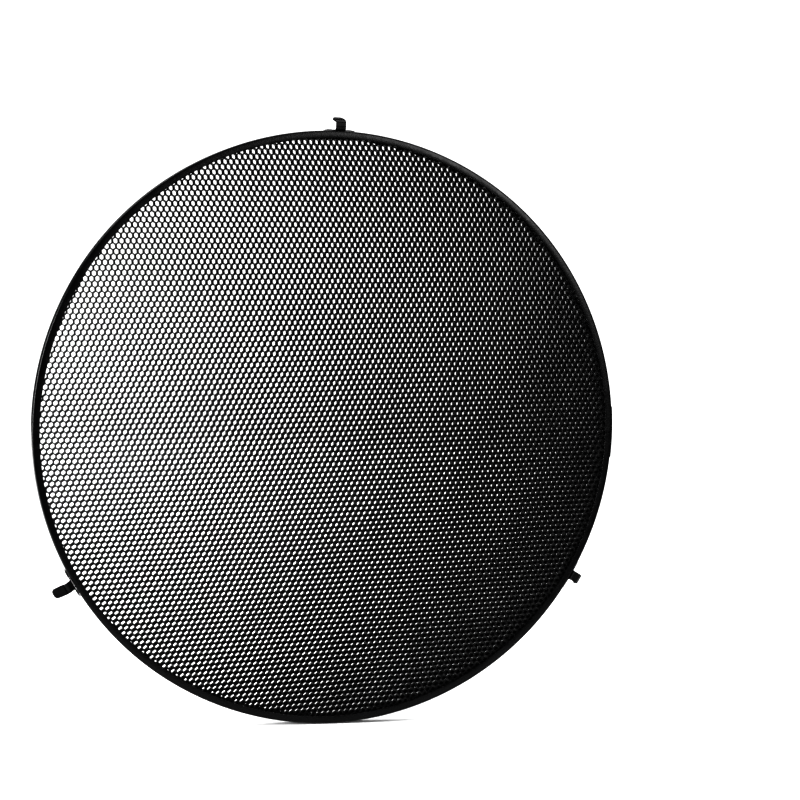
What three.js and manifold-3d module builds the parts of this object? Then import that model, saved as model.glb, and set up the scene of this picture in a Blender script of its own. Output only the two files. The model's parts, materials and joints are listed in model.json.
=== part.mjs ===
// A round honeycomb grid for a 42 cm reflector, in millimetres, +Z up.
// The disc stands upright. The light leaves it towards -Y, and the lamp is on its +Y side.
// The origin is on the disc's axis, halfway through its depth.
// Clock angles are seen from the front and run clockwise from the top.

import * as THREE from 'three';
import { mergeVertices } from 'three/addons/utils/BufferGeometryUtils.js';
import Module from 'manifold-3d';

// Rim: one strip of sheet rolled into a channel that opens inwards.
const RIM_RADIUS = 210;
const RIM_DEPTH = 12.5;
const SHEET = 0.8;
const FLANGE = 5.2;
const BEND = 1.2;
const RIM_SEGMENTS = 96;
const BUTT_GAP = 0.6;
const BUTT_CLOCK = 90;

// Core: corrugated foil ribbons, bonded wall to wall where they meet.
const CORE_DEPTH = 10;
const CORE_RADIUS = 207.4;
const FOIL = 0.6;
const BOND_GAP = 0.3;
const RIBBONS = 28;
const RIBBON_PITCH = 14.6;
// The core was bonded into the rim a little off square.
const CORE_CLOCK = -3;

// Blind rivets.
const RIVET_HOLE = 1.8;
const RIVET_SHANK = 1.45;
const RIVET_HEAD = 2.5;
const RIVET_HEAD_HEIGHT = 0.6;
const RIVET_TAIL = 2.1;
const RIVET_TAIL_HEIGHT = 0.6;
const RIVET_SEGMENTS = 12;
const CLEARANCE = 0.3;

// Spring clips: a riveted foot on the rim's wall, and a strip that hooks over the reflector's edge.
const CLIPS = [
  { side: 'top', clock: 0, splay: 0 },
  { side: 'right', clock: 120, splay: 0 },
  { side: 'left', clock: 239, splay: 42 },
];
const CLIP_SHEET = 0.7;
const CLIP_WIDTH = 7.2;
const CLIP_TIP_WIDTH = 5.6;
const FOOT_LENGTH = 21;
const FOOT_FRONT = -4.0;
const FOOT_REAR = 4.8;
const FOOT_RIVET_OFFSET = 7.2;
const HINGE_RADIUS = 210.8;
const HINGE_Y = -5.3;
// The strip's middle line from its root, as [y, radius]: a shaft, a knee and a leg that slopes out.
const SHAFT_LINE = [
  [-5.3, 210.8],
  [-6.3, 211.6],
  [-6.3, 215.9],
  [-5.5, 216.7],
];
const LEG_SLOPE = 0.22;
const onLeg = (y) => [y, 216.7 + LEG_SLOPE * (y + 5.5)];
const LEG_END = 4.2;

// Rubber sleeve on each strip's leg, which is narrower inside it.
const SLEEVE_THICKNESS = 2.2;
const SLEEVE_WIDTH = 7.6;
const SLEEVE_MOUTH = -4.6;
const SLEEVE_END = 6.8;

// Plate that bridges the rim's butt joint.
const JOINT_PLATE_LENGTH = 38;
const JOINT_PLATE_WIDTH = 8.6;
const JOINT_RIVET_CLOCKS = [-3.8, -1.6, 1.6, 3.8];

const PLATE_INNER = RIM_RADIUS + 0.45;
const PLATE_OUTER = PLATE_INNER + CLIP_SHEET;
const WEB_INNER = RIM_RADIUS - SHEET;

const black = (roughness, metalness, shade = 0x111112) =>
  new THREE.MeshStandardMaterial({ color: shade, roughness, metalness });
const RIM_PAINT = black(0.38, 0.0);
const FOIL_PAINT = black(0.8, 0.0, 0x0b0b0c);
const SPRING_PAINT = black(0.45, 0.1, 0x161617);
const RIVET_FINISH = black(0.35, 0.4, 0x1c1c1e);
const SLEEVE_RUBBER = black(0.9, 0.0, 0x0a0a0a);

const wasm = await Module();
wasm.setup();

/** Turns a closed geometry into a manifold solid. */
function solid(geometry) {
  const bare = geometry.clone();
  bare.deleteAttribute('normal');
  bare.deleteAttribute('uv');
  const merged = mergeVertices(bare, 1e-4);
  return new wasm.Manifold(new wasm.Mesh({
    numProp: 3,
    vertProperties: new Float32Array(merged.attributes.position.array),
    triVerts: new Uint32Array(merged.index.array),
  }));
}

/** Turns a manifold solid back into a geometry. */
function geometryOf(body) {
  const mesh = body.getMesh();
  const geometry = new THREE.BufferGeometry();
  geometry.setAttribute('position', new THREE.BufferAttribute(mesh.vertProperties, 3));
  geometry.setIndex(new THREE.BufferAttribute(mesh.triVerts, 1));
  geometry.computeVertexNormals();
  return geometry;
}

function part(name, geometry, material) {
  const mesh = new THREE.Mesh(geometry, material);
  mesh.name = name;
  return mesh;
}

/** A group whose +Z is the radius at this clock angle and whose +X runs clockwise along the rim. */
function atClock(degrees) {
  const group = new THREE.Group();
  group.rotation.y = THREE.MathUtils.degToRad(degrees);
  return group;
}

/** The outline of a band of even thickness along a line of points, with mitred corners. */
function bandOutline(points, thickness) {
  const sides = [[], []];
  points.forEach((point, i) => {
    const before = points[Math.max(i - 1, 0)];
    const after = points[Math.min(i + 1, points.length - 1)];
    const arriving = point.clone().sub(before).normalize();
    const leaving = after.clone().sub(point).normalize();
    const along = arriving.add(leaving).normalize();
    const normal = new THREE.Vector2(-along.y, along.x);
    const edge = (i === 0 ? after.clone().sub(point) : point.clone().sub(before)).normalize();
    const reach = thickness / 2 / Math.abs(normal.dot(new THREE.Vector2(-edge.y, edge.x)));
    sides[0].push(point.clone().addScaledVector(normal, -reach));
    sides[1].unshift(point.clone().addScaledVector(normal, reach));
  });
  return [...sides[0], ...sides[1]];
}

/** A bent strip: a band along [y, radius] points, as wide as given along X and centred on it. */
function bentStrip(line, thickness, width) {
  const points = line.map(([y, radius]) => new THREE.Vector2(y, radius));
  const shape = new THREE.Shape(bandOutline(points, thickness));
  const geometry = new THREE.ExtrudeGeometry(shape, { depth: width, bevelEnabled: false });
  geometry.translate(0, 0, -width / 2);
  const turned = new THREE.Matrix4().set(0, 0, 1, 0, 1, 0, 0, 0, 0, 1, 0, 0, 0, 0, 0, 1);
  return geometry.applyMatrix4(turned);
}

/** A rod along the radius, centred at (x, y), between two radii. */
function radialRod(radius, x, y, inner, outer, segments) {
  const rod = new THREE.CylinderGeometry(radius, radius, outer - inner, segments);
  rod.rotateX(Math.PI / 2);
  rod.translate(x, y, (inner + outer) / 2);
  return rod;
}

/** The channel's closed section as [radius, y], with its two outer corners bent round. */
function channelSection() {
  const half = RIM_DEPTH / 2;
  const lip = RIM_RADIUS - FLANGE;
  const inset = BEND * (1 - Math.SQRT1_2);
  const front = [
    [lip, -half],
    [RIM_RADIUS - BEND, -half],
    [RIM_RADIUS - inset, inset - half],
    [RIM_RADIUS, BEND - half],
  ];
  const frontInside = [
    [WEB_INNER, SHEET - half],
    [lip, SHEET - half],
  ];
  const flip = ([radius, y]) => [radius, -y];
  const outside = [...front, ...front.map(flip).reverse()];
  const inside = [...frontInside.map(flip).reverse(), ...frontInside];
  return [...outside, ...inside, front[0]].map(([radius, y]) => new THREE.Vector2(radius, y));
}

/** All the places on the rim's wall that a rivet goes through: along a radius, or beside it. */
function rivetPlaces() {
  const inFeet = CLIPS.flatMap(({ clock }) =>
    [-FOOT_RIVET_OFFSET, FOOT_RIVET_OFFSET].map((offset) => ({ clock, offset })));
  const inJoint = JOINT_RIVET_CLOCKS.map((turn) => ({ clock: BUTT_CLOCK + turn, offset: 0 }));
  return [...inFeet, ...inJoint];
}

function rimChannel() {
  const ring = new THREE.LatheGeometry(channelSection(), RIM_SEGMENTS);
  const butt = new THREE.BoxGeometry(BUTT_GAP, RIM_DEPTH + 2, FLANGE + 4);
  butt.translate(0, 0, RIM_RADIUS - FLANGE / 2);
  butt.rotateY(THREE.MathUtils.degToRad(BUTT_CLOCK));
  let body = solid(ring).subtract(solid(butt));
  for (const { clock, offset } of rivetPlaces()) {
    const hole = radialRod(
      RIVET_HOLE, offset, 0, WEB_INNER - 2, RIM_RADIUS + 2, RIVET_SEGMENTS);
    hole.rotateY(THREE.MathUtils.degToRad(clock));
    body = body.subtract(solid(hole));
  }
  return part('rim_channel', geometryOf(body), RIM_PAINT);
}

/** One foil ribbon's middle line, bent to and fro beside x, from its lower to its upper end. */
function ribbonLine(x, phase) {
  const pitch = 2 * RIBBON_PITCH;
  const wall = pitch / Math.sqrt(3);
  const swing = RIBBON_PITCH / 2 - (FOIL + BOND_GAP) / 2;
  const period = 3 * wall;
  const corners = [
    [-swing, -wall / 2],
    [-swing, wall / 2],
    [swing, wall],
    [swing, 2 * wall],
  ];
  const turns = Math.ceil(CORE_RADIUS / period) + 1;
  const line = [];
  for (let turn = -turns; turn <= turns; turn += 1) {
    for (const [across, up] of corners) {
      line.push(new THREE.Vector2(x + phase * across, up + turn * period));
    }
  }
  return trimToCircle(line, CORE_RADIUS - FOIL);
}

/** Keeps the stretch of a line through the disc's middle that lies inside a circle. */
function trimToCircle(line, radius) {
  const inside = line.map((point) => point.length() < radius);
  const middle = line.reduce(
    (best, point, i) => (Math.abs(point.y) < Math.abs(line[best].y) ? i : best), 0);
  let first = middle;
  while (inside[first - 1]) first -= 1;
  let last = middle;
  while (inside[last + 1]) last += 1;
  const start = crossing(line[first], line[first - 1], radius);
  const end = crossing(line[last], line[last + 1], radius);
  return [start, ...line.slice(first, last + 1), end];
}

/** The point between one inside and one outside a circle that lies on it. */
function crossing(inner, outer, radius) {
  const step = outer.clone().sub(inner);
  const a = step.lengthSq();
  const b = 2 * inner.dot(step);
  const c = inner.lengthSq() - radius * radius;
  const share = (-b + Math.sqrt(b * b - 4 * a * c)) / (2 * a);
  return inner.clone().addScaledVector(step, Math.max(share, 0.05));
}

function foilRibbon(index) {
  const x = (index - (RIBBONS - 1) / 2) * RIBBON_PITCH;
  const phase = index % 2 === 0 ? 1 : -1;
  const shape = new THREE.Shape(bandOutline(ribbonLine(x, phase), FOIL));
  const geometry = new THREE.ExtrudeGeometry(shape, { depth: CORE_DEPTH, bevelEnabled: false });
  geometry.rotateX(Math.PI / 2);
  geometry.translate(0, CORE_DEPTH / 2, 0);
  const name = `foil_ribbon_${String(index + 1).padStart(2, '0')}`;
  return part(name, geometry, FOIL_PAINT);
}

/** A blind rivet through the rim's wall and a plate on it: head outside, tail inside. */
function rivet(name, offset) {
  const headUnder = PLATE_OUTER + CLEARANCE;
  const tailTop = WEB_INNER - CLEARANCE;
  const profile = [
    [0, tailTop - RIVET_TAIL_HEIGHT],
    [RIVET_TAIL, tailTop - RIVET_TAIL_HEIGHT],
    [RIVET_TAIL, tailTop],
    [RIVET_SHANK, tailTop],
    [RIVET_SHANK, headUnder],
    [RIVET_HEAD, headUnder],
    [RIVET_HEAD * 0.92, headUnder + RIVET_HEAD_HEIGHT * 0.5],
    [RIVET_HEAD * 0.6, headUnder + RIVET_HEAD_HEIGHT],
    [0, headUnder + RIVET_HEAD_HEIGHT],
  ].map(([radius, height]) => new THREE.Vector2(radius, height));
  const geometry = new THREE.LatheGeometry(profile, RIVET_SEGMENTS);
  geometry.rotateX(Math.PI / 2);
  geometry.translate(offset, 0, 0);
  return part(name, geometry, RIVET_FINISH);
}

/** The clip's foot: a flat plate on the rim's wall, with a tongue that ends at the strip's root. */
function clipFoot(side) {
  const half = FOOT_LENGTH / 2;
  const tongue = CLIP_WIDTH / 2;
  const shape = new THREE.Shape();
  shape.moveTo(-tongue, HINGE_Y + CLEARANCE);
  shape.lineTo(tongue, HINGE_Y + CLEARANCE);
  shape.lineTo(tongue, FOOT_FRONT);
  shape.lineTo(half - 1, FOOT_FRONT);
  shape.lineTo(half, FOOT_FRONT + 1);
  shape.lineTo(half, FOOT_REAR - 1);
  shape.lineTo(half - 1, FOOT_REAR);
  shape.lineTo(1 - half, FOOT_REAR);
  shape.lineTo(-half, FOOT_REAR - 1);
  shape.lineTo(-half, FOOT_FRONT + 1);
  shape.lineTo(1 - half, FOOT_FRONT);
  shape.lineTo(-tongue, FOOT_FRONT);
  for (const offset of [-FOOT_RIVET_OFFSET, FOOT_RIVET_OFFSET]) {
    const hole = new THREE.Path();
    hole.absarc(offset, 0, RIVET_HOLE, 0, 2 * Math.PI, true);
    shape.holes.push(hole);
  }
  const geometry = new THREE.ExtrudeGeometry(
    shape, { depth: CLIP_SHEET, bevelEnabled: false, curveSegments: RIVET_SEGMENTS });
  geometry.translate(0, 0, PLATE_INNER);
  return part(`clip_foot_${side}`, geometry, SPRING_PAINT);
}

/** The strip: as wide as the foot's tongue up to the knee, and narrower along the leg. */
function clipStrip(side) {
  const shaft = [...SHAFT_LINE, onLeg(SLEEVE_MOUTH - CLEARANCE)];
  const whole = [...SHAFT_LINE, onLeg(LEG_END)];
  const body = solid(bentStrip(shaft, CLIP_SHEET, CLIP_WIDTH))
    .add(solid(bentStrip(whole, CLIP_SHEET, CLIP_TIP_WIDTH)));
  return part(`clip_strip_${side}`, geometryOf(body), SPRING_PAINT);
}

/** The rubber sleeve: a round-ended block with a pocket for the strip's leg. */
function clipSleeve(side) {
  const line = [onLeg(SLEEVE_MOUTH), onLeg(SLEEVE_END)];
  const block = solid(bentStrip(line, SLEEVE_THICKNESS, SLEEVE_WIDTH));
  const radius = SLEEVE_WIDTH / 2;
  const plan = new THREE.Shape();
  plan.moveTo(-radius, -10);
  plan.lineTo(radius, -10);
  plan.absarc(0, SLEEVE_END - radius, radius, 0, Math.PI, false);
  const planBlock = new THREE.ExtrudeGeometry(
    plan, { depth: 30, bevelEnabled: false, curveSegments: 8 });
  planBlock.translate(0, 0, RIM_RADIUS - 5);
  const gap = 2 * CLEARANCE;
  const pocketLine = [onLeg(SLEEVE_MOUTH - 1), onLeg(LEG_END + CLEARANCE)];
  const pocket = bentStrip(pocketLine, CLIP_SHEET + gap, CLIP_TIP_WIDTH + gap);
  const body = block.intersect(solid(planBlock)).subtract(solid(pocket));
  return part(`clip_sleeve_${side}`, geometryOf(body), SLEEVE_RUBBER);
}

/** The strip and its sleeve, turned about the strip's root by the clip's splay. */
function clipHook({ side, splay }) {
  const pivot = new THREE.Group();
  pivot.position.set(0, HINGE_Y, HINGE_RADIUS);
  pivot.rotation.x = THREE.MathUtils.degToRad(splay);
  const hook = new THREE.Group();
  hook.position.set(0, -HINGE_Y, -HINGE_RADIUS);
  hook.add(clipStrip(side), clipSleeve(side));
  pivot.add(hook);
  return pivot;
}

function clip(settings) {
  const { side, clock } = settings;
  const group = atClock(clock);
  group.add(clipFoot(side));
  group.add(rivet(`clip_rivet_${side}_1`, -FOOT_RIVET_OFFSET));
  group.add(rivet(`clip_rivet_${side}_2`, FOOT_RIVET_OFFSET));
  group.add(clipHook(settings));
  return group;
}

/** The plate over the butt joint, curved with the rim. */
function jointPlate() {
  const half = JOINT_PLATE_LENGTH / 2 / RIM_RADIUS;
  const shape = new THREE.Shape();
  shape.absarc(0, 0, PLATE_OUTER, Math.PI / 2 - half, Math.PI / 2 + half, false);
  shape.absarc(0, 0, PLATE_INNER, Math.PI / 2 + half, Math.PI / 2 - half, true);
  const arc = new THREE.ExtrudeGeometry(
    shape, { depth: JOINT_PLATE_WIDTH, bevelEnabled: false, curveSegments: 12 });
  arc.rotateX(Math.PI / 2);
  arc.translate(0, JOINT_PLATE_WIDTH / 2, 0);
  let body = solid(arc);
  for (const turn of JOINT_RIVET_CLOCKS) {
    const hole = radialRod(RIVET_HOLE, 0, 0, WEB_INNER, PLATE_OUTER + 2, RIVET_SEGMENTS);
    hole.rotateY(THREE.MathUtils.degToRad(turn));
    body = body.subtract(solid(hole));
  }
  return part('rim_joint_plate', geometryOf(body), RIM_PAINT);
}

function rimJoint() {
  const group = atClock(BUTT_CLOCK);
  group.add(jointPlate());
  JOINT_RIVET_CLOCKS.forEach((turn, i) => {
    group.add(atClock(turn).add(rivet(`rim_joint_rivet_${i + 1}`, 0)));
  });
  return group;
}

function core() {
  const group = atClock(CORE_CLOCK);
  for (let i = 0; i < RIBBONS; i += 1) {
    group.add(foilRibbon(i));
  }
  return group;
}

const grid = new THREE.Group();
grid.add(rimChannel(), rimJoint(), core());
for (const settings of CLIPS) {
  grid.add(clip(settings));
}

export default grid;
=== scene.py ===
import json
import math

import bmesh
import bpy
from mathutils import Matrix, Vector, noise


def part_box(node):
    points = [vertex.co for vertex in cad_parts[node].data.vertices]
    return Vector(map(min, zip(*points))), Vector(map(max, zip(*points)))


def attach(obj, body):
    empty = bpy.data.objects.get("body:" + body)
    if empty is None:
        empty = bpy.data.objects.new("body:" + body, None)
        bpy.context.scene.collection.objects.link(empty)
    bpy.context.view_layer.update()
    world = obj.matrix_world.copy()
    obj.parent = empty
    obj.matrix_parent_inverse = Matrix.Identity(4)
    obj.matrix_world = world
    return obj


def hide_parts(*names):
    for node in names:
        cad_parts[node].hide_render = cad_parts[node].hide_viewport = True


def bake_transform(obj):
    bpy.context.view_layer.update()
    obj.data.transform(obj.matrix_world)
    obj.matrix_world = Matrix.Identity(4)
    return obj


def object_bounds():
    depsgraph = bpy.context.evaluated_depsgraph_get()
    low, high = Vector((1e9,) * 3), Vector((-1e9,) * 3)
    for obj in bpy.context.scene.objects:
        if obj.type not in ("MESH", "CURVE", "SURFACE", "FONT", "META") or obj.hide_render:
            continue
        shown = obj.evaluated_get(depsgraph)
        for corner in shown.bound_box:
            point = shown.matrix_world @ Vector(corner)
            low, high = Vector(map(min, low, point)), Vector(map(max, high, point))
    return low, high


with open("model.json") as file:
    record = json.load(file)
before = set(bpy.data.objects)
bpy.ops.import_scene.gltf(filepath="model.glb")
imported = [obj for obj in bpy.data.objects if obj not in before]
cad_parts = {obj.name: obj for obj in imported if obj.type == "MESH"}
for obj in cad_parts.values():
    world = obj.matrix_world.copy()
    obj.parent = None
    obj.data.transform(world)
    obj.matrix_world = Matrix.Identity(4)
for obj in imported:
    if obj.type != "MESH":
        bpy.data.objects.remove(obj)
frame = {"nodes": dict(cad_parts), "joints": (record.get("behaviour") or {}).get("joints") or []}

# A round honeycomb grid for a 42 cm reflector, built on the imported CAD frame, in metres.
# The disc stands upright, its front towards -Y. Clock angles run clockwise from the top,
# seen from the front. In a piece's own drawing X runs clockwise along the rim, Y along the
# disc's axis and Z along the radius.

CAD_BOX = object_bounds()
MM = 0.001

# Camera, at the disc's front left and a little above its middle.
CAMERA_PLACE = Vector((-0.3200, -1.3803, 0.0944))
CAMERA_AIM = Vector((0.0499, 0.0, 0.0211))
CAMERA_ROLL = math.radians(1.58)
CAMERA_LENS = 90.0

# Rim, from the CAD channel's box.
rim_low, rim_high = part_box("rim_channel")
RIM_RADIUS = (rim_high.z - rim_low.z) / 2
RIM_HALF_DEPTH = (rim_high.y - rim_low.y) / 2
RIM_SHEET = 0.8 * MM
RIM_FLANGE = 5.2 * MM
RIM_BEND = 1.2 * MM
LIP_ROUND = 0.2 * MM
RIM_STEPS = 480
BUTT_CLOCK = 90.0
BUTT_GAP = 0.6 * MM

# Core: foil packs, one for each CAD ribbon, of seven fine ribbons each, and nine in the two
# outermost. Its rows bow and skew a little, and its cells lean by CORE_LEAN from front to rear.
# Both foil thicknesses are far above real foil's, and free walls have the larger, so that the
# cells' dark outlines look about as wide as in the photo.
core_nodes = sorted(name for name in frame["nodes"] if name.startswith("foil_ribbon_"))
core_low, core_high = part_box(core_nodes[len(core_nodes) // 2])
CORE_HALF_DEPTH = (core_high.y - core_low.y) / 2
CORE_RADIUS = 207.4 * MM
CORE_CLOCK = -3.0
PACK_PITCH = 14.6 * MM
RIBBONS_IN_PACK = 7
BONDED_FOIL = 0.3 * MM
FREE_FOIL = 0.58 * MM
BOND = 0.01 * MM
CORE_BOW = 0.11
CORE_SKEW = 0.035
CORE_LEAN = Vector((0.015, 0.02))
WANDER = 0.28 * MM
WANDER_LENGTH = 30.0 * MM
RIPPLE = 0.11 * MM
RIPPLE_LENGTH = 7.0 * MM
NOISE_SEED = 7

# Sheet parts that sit on the rim.
PLATE = 0.7 * MM
PLATE_GAP = 0.05 * MM
PLATE_MIDDLE = RIM_RADIUS + PLATE_GAP + PLATE / 2
JOINT_PLATE_LENGTH = 38.0 * MM
JOINT_PLATE_WIDTH = 8.6 * MM
JOINT_RIVET_CLOCKS = (-3.8, -1.6, 1.6, 3.8)
FOOT_LENGTH = 21.0 * MM
FOOT_FRONT = -4.0 * MM
FOOT_REAR = 4.8 * MM
FOOT_DEPTH = FOOT_REAR - FOOT_FRONT
FOOT_CORNER = 1.4 * MM
FOOT_RIVET_OFFSET = 7.2 * MM
RIVET_HEAD_RADIUS = 2.5 * MM
RIVET_SHANK_RADIUS = 1.5 * MM
RIVET_DOME = 0.5 * MM
RIVET_STEPS = 40

# Clips, as [y, radius] lines from the strip's root: a shaft with a pressed groove, a knee and a leg.
STRIP_WIDTH = 7.2 * MM
STRIP_TIP_WIDTH = 5.6 * MM
FULLY_OPEN = 45.0
LEG_SLOPE = 0.22
SHAFT_LINE = [(-6.3, 211.6), (-6.3, 212.3), (-6.02, 212.65), (-6.3, 213.0), (-6.3, 215.9)]
LEG_LINE = [(-5.5, 216.7), (4.2, 216.7 + LEG_SLOPE * 9.7)]
SLEEVE_LINE = [(-4.6, 216.7 + LEG_SLOPE * 0.9), (6.8, 216.7 + LEG_SLOPE * 12.3)]
SLEEVE_WIDTH = 7.6 * MM
SLEEVE_THICKNESS = 2.2 * MM


# ---------------------------------------------------------------- camera, floor and light

def make_camera():
    data = bpy.data.cameras.new("camera")
    data.lens = CAMERA_LENS
    camera = bpy.data.objects.new("camera", data)
    bpy.context.scene.collection.objects.link(camera)
    aim = (CAMERA_AIM - CAMERA_PLACE).to_track_quat("-Z", "Y").to_matrix().to_4x4()
    camera.matrix_world = Matrix.Translation(CAMERA_PLACE) @ aim @ Matrix.Rotation(CAMERA_ROLL, 4, "Z")
    bpy.context.scene.camera = camera


def area_light(name, place, aim, size, power):
    data = bpy.data.lights.new(name, "AREA")
    data.shape = "RECTANGLE"
    data.size, data.size_y = size
    data.energy = power
    light = bpy.data.objects.new(name, data)
    bpy.context.scene.collection.objects.link(light)
    direction = Vector(aim) - Vector(place)
    light.matrix_world = Matrix.Translation(place) @ direction.to_track_quat("-Z", "Y").to_matrix().to_4x4()


def make_world():
    """A pale background behind everything, and a dim even fill."""
    world = bpy.data.worlds.new("studio")
    bpy.context.scene.world = world
    world.use_nodes = True
    nodes, links = world.node_tree.nodes, world.node_tree.links
    nodes.clear()
    output = nodes.new("ShaderNodeOutputWorld")
    mix = nodes.new("ShaderNodeMixShader")
    path = nodes.new("ShaderNodeLightPath")
    seen = nodes.new("ShaderNodeBackground")
    fill = nodes.new("ShaderNodeBackground")
    seen.inputs["Color"].default_value = (1.0, 1.0, 1.0, 1.0)
    seen.inputs["Strength"].default_value = 1.05
    fill.inputs["Color"].default_value = (0.95, 0.97, 1.0, 1.0)
    fill.inputs["Strength"].default_value = 0.03
    links.new(path.outputs["Is Camera Ray"], mix.inputs[0])
    links.new(fill.outputs[0], mix.inputs[1])
    links.new(seen.outputs[0], mix.inputs[2])
    links.new(mix.outputs[0], output.inputs["Surface"])


def make_stage():
    """A pale round floor just under the rim, and three softboxes."""
    floor_level = CAD_BOX[0].z - 0.4 * MM
    bpy.ops.mesh.primitive_circle_add(vertices=96, radius=1.7, fill_type="NGON", location=(0, 1.1, floor_level))
    floor = bpy.context.object
    floor.name = "floor"
    material = bpy.data.materials.new("floor_paper")
    material.use_nodes = True
    shader = material.node_tree.nodes["Principled BSDF"]
    shader.inputs["Base Color"].default_value = (0.93, 0.93, 0.93, 1.0)
    shader.inputs["Roughness"].default_value = 0.95
    shader.inputs["Specular IOR Level"].default_value = 0.1
    floor.data.materials.append(material)
    area_light("overhead_softbox", (0.0, 1.4, 2.4), (0.0, 1.4, 0.0), (6.0, 6.0), 280.0)
    area_light("left_softbox", (-1.6, -0.5, 0.25), (-0.2, 0.0, 0.04), (0.4, 0.8), 55.0)
    area_light("right_softbox", (0.62, -1.6, 0.36), (0.05, 0.0, 0.2), (0.45, 0.45), 9.0)


# ---------------------------------------------------------------- mesh helpers

def clock(degrees):
    """The matrix from a piece's own drawing to its place at this clock angle on the rim."""
    return Matrix.Rotation(math.radians(degrees), 4, "Y")


def add_piece(name, vertices, faces, material, place=None, crease=35.0):
    mesh = bpy.data.meshes.new(name)
    mesh.from_pydata([tuple(v) for v in vertices], [], faces)
    if place is not None:
        mesh.transform(place)
    mesh.validate()
    mesh.shade_smooth()
    mesh.set_sharp_from_angle(angle=math.radians(crease))
    mesh.materials.append(material)
    piece = bpy.data.objects.new(name, mesh)
    bpy.context.scene.collection.objects.link(piece)
    return piece


def apply_bevel(piece, width, segments=2, angle=50.0):
    """Rounds a piece's sharp edges, and keeps the result as its mesh."""
    bevel = piece.modifiers.new("edges", "BEVEL")
    bevel.width = width
    bevel.segments = segments
    bevel.limit_method = "ANGLE"
    bevel.angle_limit = math.radians(angle)
    bevel.harden_normals = False
    graph = bpy.context.evaluated_depsgraph_get()
    finished = bpy.data.meshes.new_from_object(piece.evaluated_get(graph))
    piece.modifiers.clear()
    piece.data = finished
    finished.shade_smooth()
    finished.set_sharp_from_angle(angle=math.radians(60.0))


def arc(centre, radius, start, end, steps):
    """Points on an arc, from one angle to another, in degrees."""
    turns = [math.radians(start + (end - start) * i / steps) for i in range(steps + 1)]
    return [(centre[0] + radius * math.cos(t), centre[1] + radius * math.sin(t)) for t in turns]


def filleted(points, radius, steps=6):
    """A line of 2-D points with each corner replaced by a smooth curve of about this radius."""
    line = [Vector(points[0])]
    for before, corner, after in zip(points, points[1:], points[2:]):
        corner = Vector(corner)
        back = Vector(before) - corner
        ahead = Vector(after) - corner
        turn = math.pi - back.angle(ahead)
        if turn < math.radians(2.0):
            line.append(corner)
            continue
        cut = min(radius * math.tan(turn / 2), 0.48 * back.length, 0.48 * ahead.length)
        first = corner + back.normalized() * cut
        last = corner + ahead.normalized() * cut
        for i in range(steps + 1):
            share = i / steps
            line.append(first.lerp(corner, share).lerp(corner.lerp(last, share), share))
    line.append(Vector(points[-1]))
    return line


def resample(line, step):
    """The same line with points at an even spacing."""
    lengths = [0.0]
    for a, b in zip(line, line[1:]):
        lengths.append(lengths[-1] + (b - a).length)
    count = max(2, round(lengths[-1] / step))
    points, segment = [], 0
    for i in range(count + 1):
        target = lengths[-1] * i / count
        while segment < len(line) - 2 and lengths[segment + 1] < target:
            segment += 1
        span = lengths[segment + 1] - lengths[segment]
        share = (target - lengths[segment]) / span if span else 0.0
        points.append(line[segment].lerp(line[segment + 1], min(max(share, 0.0), 1.0)))
    return points


def normals_of(line):
    """Unit normals to a 2-D line, to the left of its run."""
    normals = []
    for i in range(len(line)):
        run = (line[min(i + 1, len(line) - 1)] - line[max(i - 1, 0)]).normalized()
        normals.append(Vector((-run.y, run.x)))
    return normals


def lofted(sections, closed_ends=True):
    """Vertices and faces of a skin over equal closed sections."""
    count = len(sections[0])
    vertices = [point for section in sections for point in section]
    faces = []
    for row in range(len(sections) - 1):
        for i in range(count):
            j = (i + 1) % count
            a, b = row * count, (row + 1) * count
            faces.append((a + i, a + j, b + j, b + i))
    if closed_ends:
        faces.append(tuple(reversed(range(count))))
        last = (len(sections) - 1) * count
        faces.append(tuple(last + i for i in range(count)))
    return vertices, faces


def plate_section(half_width, thickness, columns):
    """A flat strip's closed section as (across, up) points: the upper face, then the lower."""
    across = [half_width * (2 * i / columns - 1) for i in range(columns + 1)]
    upper = [(x, thickness / 2) for x in across]
    lower = [(x, -thickness / 2) for x in reversed(across)]
    return lower + upper


def round_section(half_width, half_height, corner, steps=5):
    """A rounded rectangle as (across, up) points."""
    corner = min(corner, half_width, half_height)
    points = []
    for sign_x, sign_z, start in ((1, 1, 0), (-1, 1, 90), (-1, -1, 180), (1, -1, 270)):
        centre = (sign_x * (half_width - corner), sign_z * (half_height - corner))
        points += arc(centre, corner, start, start + 90, steps)
    return points


# ---------------------------------------------------------------- materials

def new_material(name):
    material = bpy.data.materials.new(name)
    material.use_nodes = True
    tree = material.node_tree
    shader = tree.nodes["Principled BSDF"]
    return material, tree, shader


def add_noise(tree, scale, detail=3.0, roughness=0.55):
    coordinates = tree.nodes.new("ShaderNodeTexCoord")
    texture = tree.nodes.new("ShaderNodeTexNoise")
    texture.inputs["Scale"].default_value = scale
    texture.inputs["Detail"].default_value = detail
    texture.inputs["Roughness"].default_value = roughness
    tree.links.new(coordinates.outputs["Object"], texture.inputs["Vector"])
    return texture.outputs["Fac"]


def add_ramp(tree, value, stops):
    """A colour ramp: stops are (position, grey or colour)."""
    ramp = tree.nodes.new("ShaderNodeValToRGB")
    elements = ramp.color_ramp.elements
    while len(elements) < len(stops):
        elements.new(0.5)
    for element, (position, colour) in zip(elements, stops):
        element.position = position
        grey = colour if isinstance(colour, tuple) else (colour, colour, colour)
        element.color = (*grey, 1.0)
    tree.links.new(value, ramp.inputs["Fac"])
    return ramp.outputs["Color"]


def add_mix(tree, factor, first, second):
    mix = tree.nodes.new("ShaderNodeMix")
    mix.data_type = "RGBA"
    tree.links.new(factor, mix.inputs["Factor"])
    for socket, value in ((mix.inputs["A"], first), (mix.inputs["B"], second)):
        if isinstance(value, tuple):
            socket.default_value = (*value, 1.0)
        else:
            tree.links.new(value, socket)
    return mix.outputs["Result"]


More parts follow.
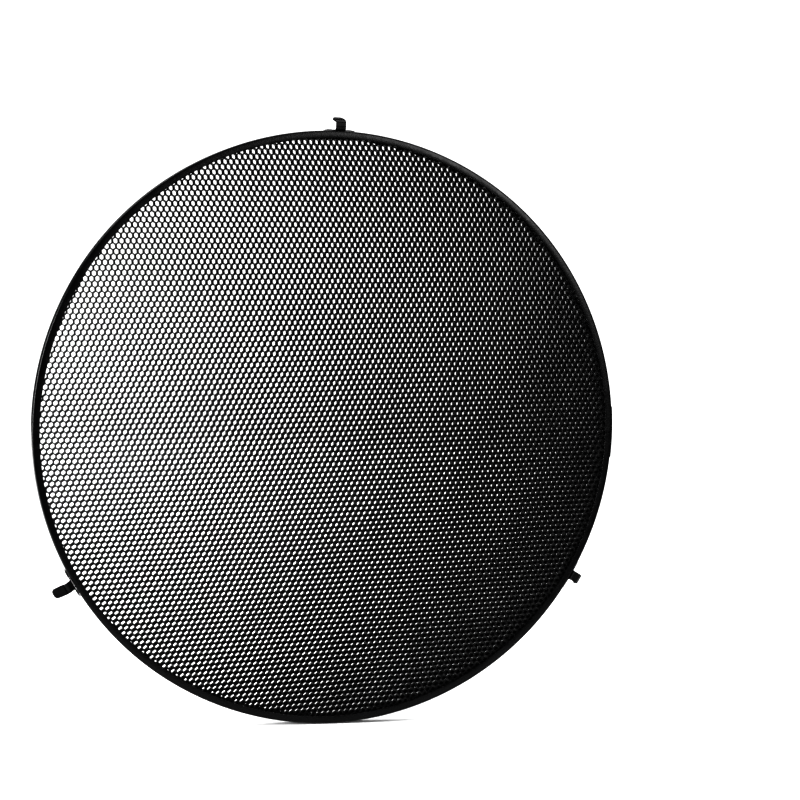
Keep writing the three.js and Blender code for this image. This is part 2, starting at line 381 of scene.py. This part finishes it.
def add_bump(tree, shader, height, distance, strength=1.0):
    bump = tree.nodes.new("ShaderNodeBump")
    bump.inputs["Distance"].default_value = distance
    bump.inputs["Strength"].default_value = strength
    tree.links.new(height, bump.inputs["Height"])
    tree.links.new(bump.outputs["Normal"], shader.inputs["Normal"])


def powder_coat(name, dark, light, roughness, peel, specular):
    """Black powder coat: orange peel, soft tone patches, fine dust and slightly rubbed spots."""
    material, tree, shader = new_material(name)
    tone = add_ramp(tree, add_noise(tree, 45.0, 4.0), [(0.3, dark), (0.7, light)])
    dust = add_ramp(tree, add_noise(tree, 2600.0, 2.0), [(0.7, 0.0), (0.76, 1.0)])
    colour = add_mix(tree, dust, tone, tuple(3.0 * c for c in light))
    tree.links.new(colour, shader.inputs["Base Color"])
    low, high = roughness
    gloss = add_ramp(tree, add_noise(tree, 160.0, 5.0), [(0.3, low), (0.7, high)])
    tree.links.new(gloss, shader.inputs["Roughness"])
    shader.inputs["Specular IOR Level"].default_value = specular
    add_bump(tree, shader, add_noise(tree, peel, 1.0, 0.4), 0.035 * MM)
    return material


def foil_paint():
    """Matte black paint on thin foil: flat and slightly mottled."""
    material, tree, shader = new_material("foil_paint")
    mottle = add_noise(tree, 220.0, 4.0)
    colour = add_ramp(tree, mottle, [(0.32, (0.0016, 0.0016, 0.0017)), (0.7, (0.005, 0.005, 0.0053))])
    tree.links.new(colour, shader.inputs["Base Color"])
    shader.inputs["Roughness"].default_value = 0.6
    shader.inputs["Specular IOR Level"].default_value = 0.06
    return material


def sleeve_rubber():
    """Matte black rubber with a fine grain and a greyer bloom."""
    material, tree, shader = new_material("sleeve_rubber")
    bloom = add_noise(tree, 320.0, 5.0)
    colour = add_ramp(tree, bloom, [(0.3, (0.0008, 0.0008, 0.0008)), (0.75, (0.0024, 0.0024, 0.0025))])
    tree.links.new(colour, shader.inputs["Base Color"])
    rough = add_ramp(tree, add_noise(tree, 700.0, 3.0), [(0.3, 0.72), (0.7, 0.92)])
    tree.links.new(rough, shader.inputs["Roughness"])
    shader.inputs["Specular IOR Level"].default_value = 0.05
    add_bump(tree, shader, add_noise(tree, 1800.0, 2.0), 0.04 * MM)
    return material


# ---------------------------------------------------------------- rim

def rim_section():
    """The channel's closed section as (radius, y) points, with rounded bends and lips."""
    lip = RIM_RADIUS - RIM_FLANGE + LIP_ROUND
    outer = RIM_HALF_DEPTH - LIP_ROUND
    inner = RIM_HALF_DEPTH - RIM_SHEET + LIP_ROUND
    bend_front = (RIM_RADIUS - RIM_BEND, RIM_BEND - RIM_HALF_DEPTH)
    bend_rear = (RIM_RADIUS - RIM_BEND, RIM_HALF_DEPTH - RIM_BEND)
    inside = RIM_BEND - RIM_SHEET
    return (
        arc((lip, -outer), LIP_ROUND, 180, 270, 3)
        + arc(bend_front, RIM_BEND, -90, 0, 8)
        + arc(bend_rear, RIM_BEND, 0, 90, 8)
        + arc((lip, outer), LIP_ROUND, 90, 180, 3)
        + arc((lip, inner), LIP_ROUND, 180, 270, 3)
        + arc(bend_rear, inside, 90, 0, 5)
        + arc(bend_front, inside, 0, -90, 5)
        + arc((lip, -inner), LIP_ROUND, 90, 180, 3)
    )


def rolled(angle):
    """How far a rolled ring strays from a true circle at an angle: the radius and the y."""
    radius = 0.07 * math.sin(3 * angle + 0.6) + 0.04 * math.sin(8 * angle + 2.1)
    wave = 0.09 * math.sin(2 * angle + 1.2) + 0.04 * math.sin(7 * angle)
    return (radius - 0.11) * MM, wave * MM


def make_rim(material):
    section = rim_section()
    half_gap = BUTT_GAP / 2 / RIM_RADIUS
    start = math.radians(BUTT_CLOCK) + half_gap
    sweep = 2 * math.pi - 2 * half_gap
    rings = []
    for i in range(RIM_STEPS + 1):
        angle = start + sweep * i / RIM_STEPS
        stray, wave = rolled(angle)
        rings.append([
            ((r + stray) * math.sin(angle), y + wave, (r + stray) * math.cos(angle)) for r, y in section
        ])
    vertices, faces = lofted(rings)
    rim = add_piece("rim", vertices, faces, material)
    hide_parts("rim_channel")
    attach(rim, "grid")


# ---------------------------------------------------------------- core

def settled(point):
    """Where a point of the even honeycomb lies in the core, turned and unevenly stretched."""
    x, z = point
    across = x - CORE_BOW * z * z - CORE_SKEW * z
    up = z - CORE_BOW * x * z
    wander = noise.noise_vector(Vector((across / WANDER_LENGTH, up / WANDER_LENGTH, 4.2)))
    ripple = noise.noise_vector(Vector((across / RIPPLE_LENGTH, up / RIPPLE_LENGTH, 9.1)))
    across += WANDER * wander.x + RIPPLE * ripple.x
    up += WANDER * wander.y + RIPPLE * ripple.y
    turn = math.radians(CORE_CLOCK)
    return Vector((
        across * math.cos(turn) + up * math.sin(turn),
        up * math.cos(turn) - across * math.sin(turn),
    ))


def ribbon_line(x, phase, pitch):
    """A ribbon's middle line over the whole height, bent to and fro beside x."""
    wall = 2 * pitch / math.sqrt(3)
    swing = pitch / 2 - (BONDED_FOIL + BOND) / 2
    corners = ((-swing, -wall / 2), (-swing, wall / 2), (swing, wall), (swing, 2 * wall))
    turns = math.ceil(CORE_RADIUS * 1.1 / (3 * wall)) + 1
    return [
        settled((x + phase * across, up + turn * 3 * wall))
        for turn in range(-turns, turns + 1)
        for across, up in corners
    ]


def inside_runs(line, radius):
    """The stretches of a line that lie inside a circle, cut off at it."""
    runs, run = [], []
    for before, point in zip([None] + line, line):
        inside = point.length < radius
        if before is not None and inside != (before.length < radius):
            run.append(circle_crossing(before, point, radius))
            if not inside:
                runs.append(run)
                run = []
        if inside:
            run.append(point)
    return [run for run in runs if len(run) > 2]


def circle_crossing(a, b, radius):
    low, high = (a, b) if a.length < b.length else (b, a)
    for _ in range(20):
        middle = (low + high) / 2
        if middle.length < radius:
            low = middle
        else:
            high = middle
    return low


def foil_side(start, end):
    """Half a wall's thickness as a vector to its left. Free walls run more across than up."""
    along = (end - start).normalized()
    foil = FREE_FOIL if abs(along.x) > 0.8 * abs(along.y) else BONDED_FOIL
    return Vector((-along.y, along.x)) * foil / 2


def mitre(first, second):
    """Where the offset edges of two walls meet, from their corner."""
    turn = first.x * second.y - first.y * second.x
    if abs(turn) < 0.2 * first.length * second.length:
        return (first + second) / 2
    a, b = first.length_squared, second.length_squared
    return Vector(((a * second.y - b * first.y) / turn, (b * first.x - a * second.x) / turn))


def band_mesh(line, vertices, faces):
    """Adds a foil band along a line of (x, z) points to the vertices and faces."""
    first = len(vertices)
    sides = [foil_side(start, end) for start, end in zip(line, line[1:])]
    for i, point in enumerate(line):
        reach = mitre(sides[max(i - 1, 0)], sides[min(i, len(sides) - 1)])
        left, right = point + reach, point - reach
        for corner, y in ((left, -1), (left, 1), (right, 1), (right, -1)):
            leant = corner + CORE_LEAN * y * CORE_HALF_DEPTH
            vertices.append((leant.x, y * CORE_HALF_DEPTH, leant.y))
        if i:
            a, b = first + 4 * (i - 1), first + 4 * i
            faces.extend((a + k, b + k, b + (k + 1) % 4, a + (k + 1) % 4) for k in range(4))
    last = len(vertices) - 4
    faces.append((first, first + 1, first + 2, first + 3))
    faces.append((last + 3, last + 2, last + 1, last))


def make_core(material):
    noise.seed_set(NOISE_SEED)
    pitch = PACK_PITCH / RIBBONS_IN_PACK
    count = len(core_nodes)
    for index, node in enumerate(core_nodes):
        first = index * RIBBONS_IN_PACK - (2 if index == 0 else 0)
        end = (index + 1) * RIBBONS_IN_PACK + (2 if index == count - 1 else 0)
        vertices, faces = [], []
        for ribbon in range(first, end):
            x = (ribbon - (count * RIBBONS_IN_PACK - 1) / 2) * pitch
            phase = 1 if ribbon % 2 == 0 else -1
            for run in inside_runs(ribbon_line(x, phase, pitch), CORE_RADIUS):
                band_mesh(run, vertices, faces)
        pack = add_piece(f"foil_pack_{index + 1:02d}", vertices, faces, material, crease=20.0)
        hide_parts(node)
        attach(pack, "grid")


# ---------------------------------------------------------------- rivets and the butt joint's plate

def make_rivet(name, place, material):
    """A blind rivet: a low domed head with the pulled pin in it, a shank and a swelled tail."""
    under = PLATE_MIDDLE + PLATE / 2
    back = RIM_RADIUS - RIM_SHEET
    profile = [(0.0, under + 0.3 * MM), (0.72 * MM, under + 0.3 * MM), (0.80 * MM, under + 0.2 * MM)]
    profile += [(0.84 * MM, under + 0.2 * MM), (0.9 * MM, under + 0.97 * RIVET_DOME)]
    for i in range(7):
        turn = math.radians(72.0 - 12.0 * i)
        height = 0.12 * MM + (RIVET_DOME - 0.12 * MM) * math.sin(turn)
        profile.append((RIVET_HEAD_RADIUS * math.cos(turn), under + height))
    profile += [(RIVET_HEAD_RADIUS, under + 0.05 * MM), (RIVET_HEAD_RADIUS - 0.08 * MM, under)]
    profile += [(RIVET_SHANK_RADIUS, under), (RIVET_SHANK_RADIUS, back)]
    profile += [(2.0 * MM, back - 0.15 * MM), (2.1 * MM, back - 0.6 * MM)]
    profile += [(RIVET_SHANK_RADIUS, back - 1.1 * MM), (0.0, back - 1.2 * MM)]
    vertices, faces = [], []
    for radius, height in profile:
        for i in range(RIVET_STEPS):
            turn = 2 * math.pi * i / RIVET_STEPS
            vertices.append((radius * math.cos(turn), radius * math.sin(turn), height))
    for row in range(len(profile) - 1):
        for i in range(RIVET_STEPS):
            j = (i + 1) % RIVET_STEPS
            a, b = row * RIVET_STEPS, (row + 1) * RIVET_STEPS
            faces.append((a + i, b + i, b + j, a + j))
    rivet = add_piece(name, vertices, faces, material, place, crease=40.0)
    merge_doubles(rivet.data)
    return rivet


def merge_doubles(mesh):
    shape = bmesh.new()
    shape.from_mesh(mesh)
    bmesh.ops.remove_doubles(shape, verts=shape.verts, dist=1e-7)
    bmesh.ops.recalc_face_normals(shape, faces=shape.faces)
    shape.to_mesh(mesh)
    shape.free()


def corner_width(place, start, end, half_width, corner):
    """A rounded plate's half width at a place between its two ends."""
    into = min(place - start, end - place)
    if into >= corner:
        return half_width
    return half_width - corner + math.sqrt(max(corner * corner - (corner - into) ** 2, 0.0))


def make_joint_plate(material):
    half = JOINT_PLATE_LENGTH / 2
    corner = 1.6 * MM
    stops = [-half + corner * (1 - math.cos(math.radians(9 * i))) for i in range(11)]
    stops = stops + [-half + corner + (JOINT_PLATE_LENGTH - 2 * corner) * i / 40 for i in range(1, 40)]
    stops = stops + [-s for s in reversed(stops[:11])]
    sections = []
    for stop in stops:
        width = corner_width(stop, -half, half, JOINT_PLATE_WIDTH / 2, corner)
        angle = stop / RIM_RADIUS
        sections.append([
            ((PLATE_MIDDLE + up) * math.sin(angle), across, (PLATE_MIDDLE + up) * math.cos(angle))
            for across, up in plate_section(width, PLATE, 8)
        ])
    vertices, faces = lofted(sections)
    plate = add_piece("butt_joint_plate", vertices, faces, material, clock(BUTT_CLOCK))
    merge_doubles(plate.data)
    apply_bevel(plate, 0.14 * MM, 2)
    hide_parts("rim_joint_plate")
    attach(plate, "grid")


# ---------------------------------------------------------------- clips

def splayed(points, hinge, degrees_open):
    """[y, radius] points in millimetres as metres, turned open about the hinge."""
    turn = math.radians(degrees_open)
    turned = []
    for y, radius in points:
        dy, dr = y * MM - hinge[0], radius * MM - hinge[1]
        turned.append((
            hinge[0] + dy * math.cos(turn) - dr * math.sin(turn),
            hinge[1] + dy * math.sin(turn) + dr * math.cos(turn),
        ))
    return turned


def smooth_step(share):
    share = min(max(share, 0.0), 1.0)
    return share * share * (3 - 2 * share)


def make_stamping(side, place, hinge, strip, covered, material):
    """The clip's one piece of sheet: the foot on the rim, curved with it, and the strip.

    The last stretch, of a length of covered, lies in the sleeve and is narrower.
    """
    foot = [(FOOT_REAR, PLATE_MIDDLE), (FOOT_FRONT - 0.2 * MM, PLATE_MIDDLE)]
    line = filleted(foot + [hinge] + strip, 0.9 * MM)
    corner_steps = [FOOT_CORNER * (1 - math.cos(math.radians(9 * i))) for i in range(10)]
    foot_rows = [Vector((FOOT_REAR - step, PLATE_MIDDLE)) for step in corner_steps]
    rest = [p for p in resample(line, 0.32 * MM) if p.x < foot_rows[-1].x - 0.1 * MM]
    line = foot_rows + rest
    normals = normals_of(line)
    half_foot, half_strip = FOOT_LENGTH / 2, STRIP_WIDTH / 2
    tip_corner = 1.2 * MM
    travelled = 0.0
    total = sum((b - a).length for a, b in zip(line, line[1:]))
    sections = []
    for i, (point, normal) in enumerate(zip(line, normals)):
        if i:
            travelled += (point - line[i - 1]).length
        shoulder = travelled - FOOT_DEPTH
        if shoulder < 0:
            half_width = corner_width(travelled, 0.0, FOOT_DEPTH + 0.6 * MM, half_foot, FOOT_CORNER)
        else:
            half_width = half_strip
        if 0 <= shoulder < 1.0 * MM:
            half_width = half_strip + 1.0 * MM * (1 - math.sqrt(1 - (1 - shoulder / MM) ** 2))
        if total - travelled < covered:
            half_width = corner_width(travelled, -1.0, total, STRIP_TIP_WIDTH / 2, tip_corner)
        curve = 1.0 - smooth_step(shoulder / (1.5 * MM))
        section = []
        for across, up in plate_section(half_width, PLATE, 14):
            sag = curve * (point.y - math.sqrt(point.y ** 2 - across ** 2))
            section.append((across, point.x + normal.x * up, point.y + normal.y * up - sag))
        sections.append(section)
    vertices, faces = lofted(sections)
    stamping = add_piece(f"clip_spring_{side}", vertices, faces, material, place)
    merge_doubles(stamping.data)
    apply_bevel(stamping, 0.12 * MM, 2)
    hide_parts(f"clip_foot_{side}", f"clip_strip_{side}")
    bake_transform(stamping)


def make_sleeve(side, place, line, material):
    """The rubber sleeve dipped over the strip's tip, with a rounded end."""
    line = resample(filleted(line, 2.5 * MM), 0.2 * MM)
    normals = normals_of(line)
    total = sum((b - a).length for a, b in zip(line, line[1:]))
    half_width, half_height = SLEEVE_WIDTH / 2, SLEEVE_THICKNESS / 2
    travelled = 0.0
    sections = []
    for i, (point, normal) in enumerate(zip(line, normals)):
        if i:
            travelled += (point - line[i - 1]).length
        left = total - travelled
        width = half_width * (max(1 - max(1 - left / half_width, 0.0) ** 2.4, 0.004)) ** 0.42
        height = half_height * math.sqrt(max(1 - max(1 - left / half_height, 0.0) ** 2, 0.02))
        mouth = max(1 - travelled / (0.5 * MM), 0.0) ** 2
        width -= 0.3 * MM * mouth
        height -= 0.3 * MM * mouth
        sections.append([
            (across, point.x + normal.x * up, point.y + normal.y * up)
            for across, up in round_section(width, height, 0.95 * MM)
        ])
    vertices, faces = lofted(sections)
    sleeve = add_piece(f"clip_sleeve_{side}_rubber", vertices, faces, material, place, crease=60.0)
    merge_doubles(sleeve.data)
    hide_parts(f"clip_sleeve_{side}")
    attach(sleeve, f"clip_{side}")


def make_clip(joint, spring, rubber, rivet_paint):
    side = joint["child"].removeprefix("clip_")
    axis = joint["axis"]
    turn = math.degrees(math.atan2(-axis[2], axis[0]))
    place = clock(turn)
    pivot = place.inverted() @ Vector(joint["pos_m"])
    hinge = (pivot.y, pivot.z)
    degrees_open = FULLY_OPEN - joint["range_deg"][1]
    strip = splayed(SHAFT_LINE + LEG_LINE, hinge, degrees_open)
    sleeve = splayed(SLEEVE_LINE, hinge, degrees_open)
    covered = (Vector(strip[-1]) - Vector(sleeve[0])).length - 0.3 * MM
    make_stamping(side, place, hinge, strip, covered, spring)
    make_sleeve(side, place, sleeve, rubber)
    for number, offset in ((1, -FOOT_RIVET_OFFSET), (2, FOOT_RIVET_OFFSET)):
        tilt = clock(turn + math.degrees(offset / RIM_RADIUS))
        rivet = make_rivet(f"rivet_{side}_{number}", tilt, rivet_paint)
        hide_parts(f"clip_rivet_{side}_{number}")
        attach(rivet, "grid")


def make_joint_rivets(material):
    for number, turn in enumerate(JOINT_RIVET_CLOCKS, start=1):
        rivet = make_rivet(f"rivet_joint_{number}", clock(BUTT_CLOCK + turn), material)
        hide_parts(f"rim_joint_rivet_{number}")
        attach(rivet, "grid")


# ---------------------------------------------------------------- the scene

make_camera()
make_world()
make_stage()

# The photo's blacks are clipped. This look, and base colours darker than real black paint, match them.
bpy.context.scene.view_settings.view_transform = "Standard"
bpy.context.scene.view_settings.look = "High Contrast"

rim_paint = powder_coat("rim_powder_coat", (0.001,) * 3, (0.0024, 0.0024, 0.0026), (0.2, 0.3), 900.0, 0.12)
spring_paint = powder_coat("spring_paint", (0.0012,) * 3, (0.003, 0.003, 0.0032), (0.3, 0.42), 1400.0, 0.1)
rivet_paint = powder_coat("rivet_paint", (0.003,) * 3, (0.008, 0.008, 0.0084), (0.28, 0.42), 1600.0, 0.35)
rubber = sleeve_rubber()

make_rim(rim_paint)
make_core(foil_paint())
make_joint_plate(rim_paint)
make_joint_rivets(rivet_paint)
for clip_joint in frame["joints"]:
    make_clip(clip_joint, spring_paint, rubber, rivet_paint)
